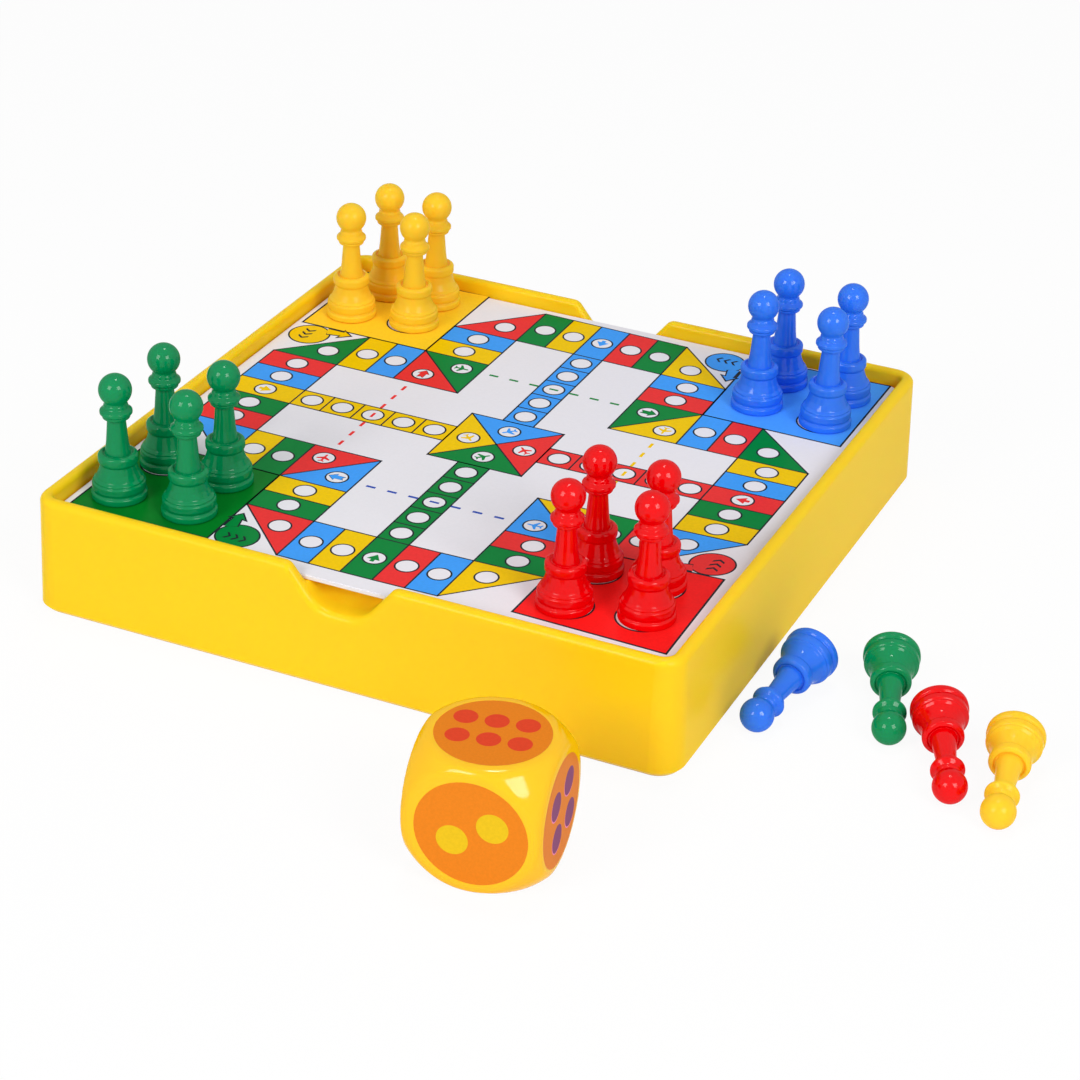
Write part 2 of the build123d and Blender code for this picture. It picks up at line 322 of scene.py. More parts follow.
@dataclass(frozen=True)
class MouldedPlastic:
    """Injection-moulded polystyrene or ABS: a bright gloss skin off a polished mould.

    It gives the eye a clean, sharp reflection over a deep even colour, with a slow
    waviness where the skin has sunk a little and faint handling marks in the gloss.
    Light that has come through the plastic softens and brightens it; the warm orange of its
    sheltered corners, where set, is painted shade mixed into its colour.

    Attributes:
        name: The material's name.
        colour: Its pigment.
        deep_colour: The pigment where it has mixed a little thicker.
        roughness: The gloss.
        ior: The plastic's index of refraction.
        sheen: The specular level seen square on.
        edge_sheen: The specular level seen along the skin.
        glow: The share of light that goes into the plastic.
        glow_depth_mm: How deep it goes.
        glow_reach: How far each of red, green and blue goes of that.
        sink_mm: The width of the skin's waves.
        sink_height_mm: Their height.
        sink_strength: How much of that height is shaded.
        smear_mm: The width of the handling marks.
        smear_span: The least and the most roughness in them, of the whole.
        painted_shade_colour: The warm shade painted into sheltered corners, or nothing.
        painted_shade_reach_mm: How near the shelter has to be.
        painted_shade_shelter: How open a spot is where the painted shade is full and where it
            ends.
        painted_shade_above_mm: The height over the table where the painted shade starts.
        painted_shade_fade_mm: How much higher it is full.
    """

    name: str
    colour: str
    deep_colour: str
    roughness: float = 0.2
    ior: float = 1.55
    sheen: float = 0.17
    edge_sheen: float = 0.02
    glow: float = 0.15
    glow_depth_mm: float = 2.5
    glow_reach: Triple = (1.0, 0.5, 0.15)
    sink_mm: float = 14.0
    sink_height_mm: float = 0.01
    sink_strength: float = 0.6
    smear_mm: float = 9.0
    smear_span: Point = (0.92, 1.1)
    painted_shade_colour: str = ""
    painted_shade_reach_mm: float = 6.0
    painted_shade_shelter: Point = (0.1, 0.5)
    painted_shade_above_mm: float = -100.0
    painted_shade_fade_mm: float = 6.0

    def build(self) -> bpy.types.Material:
        """Makes the material.

        Returns:
            The material.
        """
        material, tree = new_surface(self.name)
        place = add_node(tree, "ShaderNodeTexCoord").outputs["Object"]
        # Pigment that has not mixed quite evenly, over two sink widths.
        cloud = add_node(
            tree,
            "ShaderNodeTexNoise",
            {"Scale": 1 / (2 * self.sink_mm * MM), "Detail": 2.0},
            {"Vector": place},
        )
        pigment = add_node(
            tree,
            "ShaderNodeMix",
            {"data_type": "RGBA", 6: linear(self.colour), 7: linear(self.deep_colour)},
            {0: cloud.outputs["Fac"]},
        )
        # Handling marks: the gloss is a touch duller in patches.
        smear = add_node(
            tree,
            "ShaderNodeTexNoise",
            {"Scale": 1 / (self.smear_mm * MM), "Detail": 2.0},
            {"Vector": place},
        )
        least, most = (self.roughness * share for share in self.smear_span)
        start, end = PATCH_SPAN
        gloss = add_node(
            tree,
            "ShaderNodeMapRange",
            {"From Min": start, "From Max": end, "To Min": least, "To Max": most},
            {"Value": smear.outputs["Fac"]},
        )
        # Sink and flow of the moulded skin.
        wave = add_node(
            tree,
            "ShaderNodeTexNoise",
            {"Scale": 1 / (self.sink_mm * MM), "Detail": 1.0},
            {"Vector": place},
        )
        skin = add_node(
            tree,
            "ShaderNodeBump",
            {"Strength": self.sink_strength, "Distance": self.sink_height_mm * MM},
            {"Height": wave.outputs["Fac"]},
        )
        colour = pigment.outputs[2]
        if self.painted_shade_colour:
            # Painted shade: where little open space is near a spot, its colour is mixed towards a
            # warm orange.
            colour = self.with_painted_shade(tree, place, colour)
        shader = add_node(
            tree,
            "ShaderNodeBsdfPrincipled",
            {
                "IOR": self.ior,
                "Subsurface Weight": self.glow,
                "Subsurface Radius": self.glow_reach,
                "Subsurface Scale": self.glow_depth_mm * MM,
            },
            {
                "Base Color": colour,
                "Roughness": gloss.outputs["Result"],
                "Specular IOR Level": fading_gloss(tree, self.sheen, self.edge_sheen),
                "Normal": skin.outputs["Normal"],
            },
        )
        add_node(tree, "ShaderNodeOutputMaterial", None, {"Surface": shader.outputs["BSDF"]})
        return material

    def with_painted_shade(self, tree: Tree, place: Socket, colour: Socket) -> Socket:
        """Paints a warm orange shade into the colour of sheltered corners.

        Args:
            tree: The node tree.
            place: Where the spot is.
            colour: The plain colour.

        Returns:
            The colour with its painted shade.
        """
        shelter = add_node(
            tree,
            "ShaderNodeAmbientOcclusion",
            {"samples": 8, "Distance": self.painted_shade_reach_mm * MM},
        )
        full, none = self.painted_shade_shelter
        depth = add_node(
            tree,
            "ShaderNodeMapRange",
            {"From Min": full, "From Max": none, "To Min": 1.0, "To Max": 0.0},
            {"Value": shelter.outputs["AO"]},
        )
        height = add_node(tree, "ShaderNodeSeparateXYZ", None, {"Vector": place})
        start = self.painted_shade_above_mm
        above = add_node(
            tree,
            "ShaderNodeMapRange",
            {"From Min": start * MM, "From Max": (start + self.painted_shade_fade_mm) * MM},
            {"Value": height.outputs["Z"]},
        )
        share = add_node(
            tree,
            "ShaderNodeMath",
            {"operation": "MULTIPLY"},
            {0: depth.outputs["Result"], 1: above.outputs["Result"]},
        )
        mixed = add_node(
            tree,
            "ShaderNodeMix",
            {"data_type": "RGBA", 7: linear(self.painted_shade_colour)},
            {0: share.outputs[0], 6: colour},
        )
        return mixed.outputs[2]


@dataclass(frozen=True)
class PrintedPaper:
    """Offset print on coated card under a gloss film.

    It gives the eye flat, slightly mottled ink and the soft sheen of the film, which
    ripples a little with the card.

    Attributes:
        name: The material's name.
        colour: The ink's or the bare card's colour.
        mottle: How much lighter and darker the ink takes.
        roughness: The film's gloss.
        ior: The film's index of refraction.
        sheen: The specular level seen square on.
        edge_sheen: The specular level seen along the sheet.
        ripple_mm: The width of the film's ripples.
        ripple_height_mm: Their height.
        ripple_strength: How much of that height is shaded.
        fibre_mm: The width of the card's fibres, drawn coarse enough to show.
    """

    name: str
    colour: str
    mottle: float = 0.03
    roughness: float = 0.3
    ior: float = 1.5
    sheen: float = 0.06
    edge_sheen: float = 0.01
    ripple_mm: float = 30.0
    ripple_height_mm: float = 0.03
    ripple_strength: float = 0.5
    fibre_mm: float = 0.6

    def build(self) -> bpy.types.Material:
        """Makes the material.

        Returns:
            The material.
        """
        material, tree = new_surface(self.name)
        place = add_node(tree, "ShaderNodeTexCoord").outputs["Object"]
        # Ink takes unevenly on the card's fibres.
        fibre = add_node(
            tree,
            "ShaderNodeTexNoise",
            {"Scale": 1 / (self.fibre_mm * MM), "Detail": 3.0},
            {"Vector": place},
        )
        start, end = FIBRE_SPAN
        dark, light = 1 - self.mottle, 1 + self.mottle
        shade = add_node(
            tree,
            "ShaderNodeMapRange",
            {"From Min": start, "From Max": end, "To Min": dark, "To Max": light},
            {"Value": fibre.outputs["Fac"]},
        )
        ink = add_node(
            tree,
            "ShaderNodeHueSaturation",
            {"Color": linear(self.colour)},
            {"Value": shade.outputs["Result"]},
        )
        ripple = add_node(
            tree,
            "ShaderNodeTexNoise",
            {"Scale": 1 / (self.ripple_mm * MM), "Detail": 1.0},
            {"Vector": place},
        )
        film = add_node(
            tree,
            "ShaderNodeBump",
            {"Strength": self.ripple_strength, "Distance": self.ripple_height_mm * MM},
            {"Height": ripple.outputs["Fac"]},
        )
        shader = add_node(
            tree,
            "ShaderNodeBsdfPrincipled",
            {"Roughness": self.roughness, "IOR": self.ior},
            {
                "Base Color": ink.outputs["Color"],
                "Specular IOR Level": fading_gloss(tree, self.sheen, self.edge_sheen),
                "Normal": film.outputs["Normal"],
            },
        )
        add_node(tree, "ShaderNodeOutputMaterial", None, {"Surface": shader.outputs["BSDF"]})
        return material


Materials = dict[MouldedPlastic | PrintedPaper, bpy.types.Material]

# A thick, slightly clear ABS: a soft-edged gloss. Light passes into its walls, and the amber of
# its inner corners is painted shade.
TRAY_PLASTIC = MouldedPlastic(
    "abs_moulded_yellow_tray",
    "#FFD01A",
    "#FFCC16",
    roughness=0.24,
    sheen=0.13,
    glow=0.5,
    glow_depth_mm=4.0,
    sink_mm=60.0,
    painted_shade_colour="#FFAC12",
    painted_shade_above_mm=6.0,
)
# A thin opaque sheet of ABS: a plain pale edge under the print.
PLATE_PLASTIC = MouldedPlastic(
    "abs_moulded_white_plate", "#E9E7E9", "#E4E2E5", roughness=0.3, glow=0.0
)
# Polystyrene off a mirror-polished mould: hard, bright windows on the round corners.
DIE_PLASTIC = MouldedPlastic(
    "polystyrene_moulded_yellow_die", "#FCC306", "#FCBF04", roughness=0.1, sheen=0.3
)
# Pigmented polystyrene: small sharp lights on deep colours. The yellow takes least
# pigment and lets most light in; the orange of its folds is painted shade.
PAWN_PLASTICS = {
    Team.GREEN: MouldedPlastic(
        "polystyrene_moulded_green", "#008E54", "#008850", roughness=0.06, sheen=0.18, glow=0.2
    ),
    Team.YELLOW: MouldedPlastic(
        "polystyrene_moulded_yellow",
        "#FFCC30",
        "#FFC82A",
        roughness=0.2,
        sheen=0.12,
        glow=0.6,
        painted_shade_colour="#FF980C",
        painted_shade_reach_mm=4.0,
    ),
    Team.BLUE: MouldedPlastic(
        "polystyrene_moulded_blue", "#2C78F2", "#2872EE", roughness=0.06, sheen=0.24, glow=0.2
    ),
    Team.RED: MouldedPlastic(
        "polystyrene_moulded_red", "#E80006", "#E20004", roughness=0.06, sheen=0.18, glow=0.2
    ),
}
# Clay-coated card: a cool, even white.
PAPER = PrintedPaper("coated_card_white", "#ECEAF0", mottle=0.01)
# Offset inks: flat process colours, the corner squares printed fuller than the track.
LINE_INK = PrintedPaper("offset_ink_black", "#20262E")
TEAM_INKS = {
    Team.GREEN: PrintedPaper("offset_ink_green", "#04843A"),
    Team.YELLOW: PrintedPaper("offset_ink_yellow", "#F5CA04"),
    Team.BLUE: PrintedPaper("offset_ink_blue", "#42A0FC"),
    Team.RED: PrintedPaper("offset_ink_red", "#EE3636"),
}
CORNER_INKS = {
    Team.GREEN: PrintedPaper("offset_ink_corner_green", "#047A24"),
    Team.YELLOW: PrintedPaper("offset_ink_corner_yellow", "#FFD22A"),
    Team.BLUE: PrintedPaper("offset_ink_corner_blue", "#4CA2FF"),
    Team.RED: PrintedPaper("offset_ink_corner_red", "#F62020"),
}
DASH_INK = PrintedPaper("offset_ink_dash_blue", "#2B4FB0")
# Self-adhesive paper, printed all over: a warm, faintly speckled orange.
LABEL_PAPER = PrintedPaper("label_paper_orange", "#E4801C", fibre_mm=0.5)
LABEL_INKS = {
    LabelInk.RED: PrintedPaper("label_ink_red", "#DD4426"),
    LabelInk.YELLOW: PrintedPaper("label_ink_yellow", "#E4BC1C"),
    LabelInk.PURPLE: PrintedPaper("label_ink_purple", "#85406F"),
    LabelInk.PINK: PrintedPaper("label_ink_pink", "#EE86B4"),
}


# -------------------------------------------------------------- printed board


@dataclass(frozen=True)
class Placement:
    """Where a drawing lies: its origin, its two directions and its unit."""

    origin: Vector
    right: Vector
    up: Vector
    unit: float

    def point(self, at: Point, height: float) -> Vector:
        """A point of the drawing, so far off its face."""
        out = self.right.cross(self.up)
        return self.origin + (self.right * at[0] + self.up * at[1]) * self.unit + out * height


@dataclass(frozen=True)
class DriftedPlacement(Placement):
    """A drawing whose print has drifted on its card, differently over the sheet.

    Attributes:
        across: The drawing's width in units.
        corner: The width of the corner squares, whose outer corners have not drifted.
        drift_mm: How far the print has moved along X and Y at nine points: from left
            to right, each from front to back.
    """

    across: float
    corner: float
    drift_mm: tuple[tuple[Point, ...], ...]

    def point(self, at: Point, height: float) -> Vector:
        """A point of the drawing with its drift.

        Args:
            at: The point in the drawing.
            height: How far it stands off the face, in metres.

        Returns:
            The point in the frame.
        """
        shares, outside = [], []
        for c in at:
            t = 2 * c / self.across - 1
            shares.append((t * (t - 1) / 2, 1 - t * t, t * (t + 1) / 2))
            beyond = max(self.corner - c, c + self.corner - self.across, 0.0)
            outside.append(min(beyond / self.corner, 1.0))
        drift = Vector((0.0, 0.0))
        for row, part in zip(self.drift_mm, shares[0]):
            for step, other in zip(row, shares[1]):
                drift += Vector(step) * part * other
        drift *= (1 - outside[0] * outside[1]) * MM / self.unit
        return super().point((at[0] + drift.x, at[1] + drift.y), height)


@dataclass
class InkStack:
    """Thin inked shapes on a flat face, kept as closed slips and joined in one mesh.

    Attributes:
        name: The piece's name.
        place: Where the drawing lies.
        layer_mm: How much higher each layer stands than the one under it.
        verts: The points so far.
        faces: The faces so far.
        inks: The materials so far, in slot order.
        indices: Each face's slot.
        lines: The ends of the lines drawn so far.
    """

    name: str
    place: Placement
    layer_mm: float = 0.01
    verts: list[Vector] = field(default_factory=list)
    faces: Faces = field(default_factory=list)
    inks: list[bpy.types.Material] = field(default_factory=list)
    indices: list[int] = field(default_factory=list)
    lines: set[tuple[Point, ...]] = field(default_factory=set)

    def add(self, corners: list[Point], ink: bpy.types.Material, layer: int) -> None:
        """Adds one closed slip.

        Args:
            corners: Its outline in the drawing, anticlockwise.
            ink: Its material.
            layer: Which layer its face is on, from 1.
        """
        if ink not in self.inks:
            self.inks.append(ink)
        start, count = len(self.verts), len(corners)
        for height in (-self.layer_mm * MM, layer * self.layer_mm * MM):
            self.verts += [self.place.point(corner, height) for corner in corners]
        self.faces.append([start + n for n in reversed(range(count))])
        self.faces.append([start + count + n for n in range(count)])
        for n in range(count):
            m = (n + 1) % count
            self.faces.append([start + n, start + m, start + count + m, start + count + n])
        self.indices += [self.inks.index(ink)] * (count + 2)

    def stroke(self, a: Point, b: Point, width: float, ink: bpy.types.Material) -> None:
        """Adds a straight line with square ends, unless it is there.

        Args:
            a: One end.
            b: The other end.
            width: The line's width in units of the drawing.
            ink: Its material.
        """
        # Neighbouring fields share a side, whose line is drawn once.
        key = tuple(sorted((round(x, 2), round(y, 2)) for x, y in (a, b)))
        if key in self.lines:
            return
        self.lines.add(key)
        start, end = Vector(a), Vector(b)
        along = (end - start).normalized() * width / 2
        side = Vector((-along.y, along.x))
        corners = [
            start - along - side,
            end + along - side,
            end + along + side,
            start - along + side,
        ]
        self.add([tuple(c) for c in corners], ink, Layer.LINE)

    def finish(self, body: str, slot: str) -> None:
        """Makes the piece and lets it ride on its body.

        Args:
            body: The body's name.
            slot: Not used.
        """
        piece = mesh_object(self.name, self.verts, self.faces, self.inks, indices=self.indices)
        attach(piece, body)
        LOG.info("%s: %d faces", self.name, len(self.faces))


def spun(shape: list[Point], at: Point, degrees: float, size: float = 1.0) -> list[Point]:
    """Turns a small shape about its own origin and sets it down.

    Args:
        shape: Its corners.
        at: Where its origin goes.
        degrees: How far it is turned.
        size: How much larger it gets.

    Returns:
        Its corners there.
    """
    turn, lean = math.cos(math.radians(degrees)), math.sin(math.radians(degrees))
    return [
        (at[0] + size * (x * turn - y * lean), at[1] + size * (x * lean + y * turn))
        for x, y in shape
    ]


def mirrored(half: list[Point]) -> list[Point]:
    """Closes a shape from its half on one side of the X axis."""
    return half + [(x, -y) for x, y in reversed(half) if abs(y) > 1e-6]


# Pictograms of the board, in units, pointing along +X.
MARK_SHAPES = {
    Mark.PLANE: mirrored(
        [(0.23, 0.0), (0.19, 0.03), (0.07, 0.035), (-0.04, 0.2), (-0.1, 0.2), (-0.05, 0.035)]
        + [(-0.15, 0.03), (-0.19, 0.09), (-0.23, 0.09), (-0.2, 0.0)]
    ),
    Mark.FAT_ARROW: mirrored(
        [(0.24, 0.0), (0.03, 0.18), (0.03, 0.09), (-0.21, 0.09), (-0.15, 0.0)]
    ),
    Mark.HOME_ARROW: mirrored([(0.2, 0.0), (-0.08, 0.19), (-0.08, 0.06), (-0.2, 0.06)]),
}
CHEVRON = [(-0.1, -0.16), (0.02, 0.0), (-0.1, 0.16), (-0.02, 0.16), (0.1, 0.0), (-0.02, -0.16)]


@dataclass
class BoardPrint:
    """The printed track: four arms, home columns, centre, corners and start badges.

    Lengths are in units of the drawing, whose origin is the front left corner of the
    track; one unit is a board width of unit_mm. What is drawn on the front arm is
    drawn again on the others by quarter turns, each with the next colours.
    """

    materials: Materials
    unit_mm: float = 8.0
    across: float = 17.0
    shift_mm: Point = (-0.47, 0.7)
    arm_left: float = 4.0
    arm_cells: tuple[float, ...] = (6.1, 7.06, 8.02, 8.98, 9.94, 10.9)
    arm_right: float = 13.0
    row_depth: float = 2.115
    step_rows: tuple[float, ...] = (2.115, 3.06, 4.0)
    block_end: float = 6.1
    home_end: float = 7.05
    line: float = 0.048
    ring: float = 0.345
    ring_line: float = 0.05
    # Middles of the circles in the outer row's triangles and in the flight fields.
    triangle_spots: tuple[Point, Point] = ((5.4, 1.45), (11.6, 1.45))
    flight_spots: tuple[Point, Point] = ((5.46, 4.65), (4.6, 5.5))
    centre_spot: float = 0.58
    arrow_edge: float = 1.12
    home_cells: int = 5
    dashes: int = 7
    dash_pitch: float = 0.65
    dash_length: float = 0.28
    dash_width: float = 0.085
    # Outer edges of the corner squares by quarter turns: the maker cut them unevenly.
    corner_fronts: tuple[float, ...] = (-0.1, -0.2, -0.35, -0.2)
    corner_sides: tuple[float, ...] = (-0.2, -0.3, -0.25, 0.1)
    corner_line: float = 0.058
    waiting_ring: float = 0.72
    waiting_sides: int = 56
    badge_spot: Point = (4.66, 0.4)
    badge: float = 0.59
    badge_line: float = 0.05
    badge_sides: int = 48
    chevron_pitch: float = 0.24
    chevron_drop: float = 0.1
    drift_mm: tuple[tuple[Point, ...], ...] = (
        ((0.7, 1.8), (-0.3, 0.0), (0.0, 1.9)),
        ((-0.2, 0.1), (0.1, -0.3), (-0.1, 0.5)),
        ((-1.9, 2.8), (0.0, 1.0), (-0.7, -2.4)),
    )
    # How far each waiting circle's middle is from its pawn's, in millimetres.
    waiting_off: dict[str, Point] = field(
        default_factory=lambda: {
            "green_3": (0.1, -0.8),
            "yellow_2": (-0.9, -0.4),
            "blue_2": (-0.9, -0.2),
            "red_1": (0.6, 0.2),
            "red_2": (-0.8, -0.6),
            "red_3": (0.4, -0.6),
            "red_4": (0.5, -0.6),
        }
    )
    origin: Vector = field(init=False)
    cells: InkStack = field(init=False)
    marks: InkStack = field(init=False)
    waiting: InkStack = field(init=False)

    def build(self) -> None:
        """Draws the whole print and makes its pieces."""
        self.origin = Vector((self.shift_mm[0], self.shift_mm[1], 0)) * MM
        self.origin -= Vector((1, 1, 0)) * self.across / 2 * self.unit_mm * MM
        self.origin.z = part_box("printed_sheet")[1].z
        flat = (self.origin, Vector((1, 0, 0)), Vector((0, 1, 0)), self.unit_mm * MM)
        place = DriftedPlacement(*flat, self.across, self.arm_left, self.drift_mm)
        self.cells = InkStack("print_fields", place)
        self.marks = InkStack("print_marks", place)
        self.waiting = InkStack("print_waiting_circles", Placement(*flat))
        for turns in range(4):
            self.draw_arm(turns)
            self.draw_corner(turns)
        for stack in (self.cells, self.marks, self.waiting):
            stack.finish("board_body", "printed_paper")

    def turned(self, corners: list[Point], turns: int) -> list[Point]:
        """Turns points of the drawing by quarter turns, clockwise from above.

        Args:
            corners: The points.
            turns: How many quarter turns.

        Returns:
            The turned points.
        """
        for _ in range(turns):
            corners = [(y, self.across - x) for x, y in corners]
        return corners

    def draw_field(self, turns: int, corners: list[Point], team: Team) -> None:
        """Draws one coloured field with its outline.

        Args:
            turns: Quarter turns from the front arm.
            corners: The field's corners on the front arm, anticlockwise.
            team: Its colour on the front arm.
        """
        ink = self.materials[TEAM_INKS[team.after(turns)]]
        self.draw_block(self.turned(corners, turns), ink, self.line)

    def draw_block(self, corners: list[Point], ink: bpy.types.Material, line: float) -> None:
        """Draws one filled and outlined block.

        Args:
            corners: Its corners, anticlockwise.
            ink: Its filling.
            line: The width of its outline.
        """
        self.cells.add(corners, ink, Layer.FIELD)
        for a, b in zip(corners, corners[1:] + corners[:1]):
            self.cells.stroke(a, b, line, self.materials[LINE_INK])

    def draw_disc(
        self, turns: int, at: Point, team: Team, mark: Mark = Mark.NONE, heading: float = 0
    ) -> None:
        """Draws a field's circle and what is in it.

        Args:
            turns: Quarter turns from the front arm.
            at: The circle's middle on the front arm.
            team: The mark's colour on the front arm.
            mark: What is printed in it.
            heading: Where the mark points on the front arm, in degrees from +X.
        """
        black = self.materials[LINE_INK]
        middle = self.turned([at], turns)[0]
        self.marks.add(circle(middle, self.ring), black, Layer.RING)
        spot = circle(middle, self.ring - self.ring_line)
        self.marks.add(spot, self.materials[PAPER], Layer.SPOT)
        if mark is Mark.NONE:
            return
        facing = heading - 90 * turns
        if mark is Mark.FAT_ARROW:
            edge = spun(MARK_SHAPES[mark], middle, facing, self.arrow_edge)
            self.marks.add(edge, black, Layer.MARK_EDGE)
        ink = self.materials[TEAM_INKS[team.after(turns)]]
        self.marks.add(spun(MARK_SHAPES[mark], middle, facing), ink, Layer.MARK)

    def draw_arm(self, turns: int) -> None:
        """Draws an arm, its flight line, its home column and its centre quarter.

        Args:
            turns: Quarter turns from the front arm.
        """
        left, right, depth = self.arm_left, self.arm_right, self.row_depth
        cells = self.arm_cells
        green, yellow, blue, red = Team
        # Outer row: a triangle, five fields and a triangle.
        self.draw_field(turns, [(left, depth), (cells[0], 0), (cells[0], depth)], red)
        self.draw_disc(turns, self.triangle_spots[0], red)
        for start, end, team in zip(cells, cells[1:], (blue, yellow, green, red, blue)):
            corners = [(start, 0), (end, 0), (end, depth), (start, depth)]
            self.draw_field(turns, corners, team)
            mark = Mark.HOME_ARROW if team is green else Mark.NONE
            self.draw_disc(turns, ((start + end) / 2, depth / 2), team, mark, 90)
        self.draw_field(turns, [(cells[-1], 0), (right, depth), (cells[-1], depth)], yellow)
        self.draw_disc(turns, self.triangle_spots[1], yellow)
        # Two fields going in on each side.
        for start, end, near, far in zip(
            self.step_rows, self.step_rows[1:], (green, yellow), (green, red)
        ):
            for x0, x1, team in ((left, cells[0], near), (cells[-1], right, far)):
                corners = [(x0, start), (x1, start), (x1, end), (x0, end)]
                self.draw_field(turns, corners, team)
                self.draw_disc(turns, ((x0 + x1) / 2, (start + end) / 2), team)
        # The block in the left corner: two flight fields.
        block, end = self.step_rows[-1], self.block_end
        self.draw_field(turns, [(left, block), (cells[0], block), (cells[0], end)], blue)
        self.draw_disc(turns, self.flight_spots[0], blue, Mark.FAT_ARROW, 180)
        self.draw_field(turns, [(left, block), (cells[0], end), (left, end)], red)
        self.draw_disc(turns, self.flight_spots[1], red, Mark.PLANE, 90)
        # Home column and its quarter of the centre.
        pitch = (self.home_end - depth) / self.home_cells
        x0, x1, middle = cells[2], cells[3], self.across / 2
        for n in range(self.home_cells):
            y0, y1 = depth + n * pitch, depth + (n + 1) * pitch
            self.draw_field(turns, [(x0, y0), (x1, y0), (x1, y1), (x0, y1)], green)
            self.draw_disc(turns, (middle, (y0 + y1) / 2), green)
        near = self.home_end
        corners = [(near, near), (self.across - near, near), (middle, middle)]
        self.draw_field(turns, corners, green)
        self.draw_disc(turns, (middle, near + self.centre_spot), green, Mark.PLANE, 45)
        # Flight line across the home column's middle circle.
        y = depth + (self.home_cells / 2) * pitch
        team = blue.after(turns)
        ink = self.materials[DASH_INK if team is blue else TEAM_INKS[team]]
        half, thick = self.dash_length / 2, self.dash_width / 2
        for n in range(self.dashes):
            x = middle + (n - self.dashes // 2) * self.dash_pitch
            dash = [(x - half, y - thick), (x + half, y - thick)]
            dash += [(x + half, y + thick), (x - half, y + thick)]
            self.marks.add(self.turned(dash, turns), ink, Layer.MARK_EDGE)

    def draw_corner(self, turns: int) -> None:
        """Draws a corner with its four waiting circles and its start badge.

        Args:
            turns: Quarter turns from the front left corner.
        """
        team = Team.GREEN.after(turns)
        black = self.materials[LINE_INK]
        front, side, end = self.corner_fronts[turns], self.corner_sides[turns], self.arm_left
        square = self.turned([(side, front), (end, front), (end, end), (side, end)], turns)
        self.draw_block(square, self.materials[CORNER_INKS[team]], self.corner_line)
        for n in range(1, PAWNS_PER_TEAM + 1):
            low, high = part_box(f"pawn_{team.value}_{n}")
            off = Vector(self.waiting_off.get(f"{team.value}_{n}", (0.0, 0.0))) * MM
            foot = ((low + high) / 2 - self.origin).xy + off
            middle = tuple(foot / (self.unit_mm * MM))
            ring = circle(middle, self.waiting_ring, self.waiting_sides)
            self.waiting.add(ring, black, Layer.RING)
            spot = circle(middle, self.waiting_ring - self.ring_line, self.waiting_sides)
            self.waiting.add(spot, self.materials[PAPER], Layer.SPOT)
        # Start badge: a round spot with a tail that ends in an arrow, and three chevrons.
        fill = self.materials[TEAM_INKS[team]]
        for grow, colour, low, high in (
            (self.badge_line, black, Layer.RING, Layer.MARK_EDGE),
            (0.0, fill, Layer.SPOT, Layer.MARK),
        ):
            spot = circle(self.badge_spot, self.badge + grow, self.badge_sides)
            self.marks.add(self.turned(spot, turns), colour, low)
            self.marks.add(self.turned(self.tail(grow), turns), colour, high)
        x, y = self.badge_spot
        for n in (-1, 0, 1):
            chevron = spun(CHEVRON, (x + self.chevron_pitch * n, y - self.chevron_drop), 0)
            self.marks.add(self.turned(chevron, turns), black, Layer.CHEVRON)

    def tail(self, grow: float) -> list[Point]:
        """The badge's arrow, which runs up along the corner's edge.

        Args:
            grow: How far its outline stands out all round.

        Returns:
            Its corners.
        """
        g = grow
        return [
            (4.08 - g, 0.72),
            (4.4 + g, 0.85),
            (4.31 + g, 1.28 - g),
            (4.43 + 2 * g, 1.26 - g),
            (4.2, 1.54 + 1.6 * g),
            (4.0 - 2 * g, 1.26 - g),
            (4.09 - g, 1.28 - g),
        ]


# ----------------------------------------------------------------- the pieces


@dataclass
class Tray:
    """The moulded tray, the plate that lies in it and its printed sheet."""

    materials: Materials
    nodes: dict[str, bpy.types.Object]

    def dress(self) -> None:
        """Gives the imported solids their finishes."""
        finishes = {
            "tray": TRAY_PLASTIC,
            "board_plate": PLATE_PLASTIC,
            "printed_sheet": PAPER,
        }
        for name, finish in finishes.items():
            mesh = self.nodes[name].data
            mesh.materials.clear()
            mesh.materials.append(self.materials[finish])
            LOG.info("%s: %s", name, finish.name)


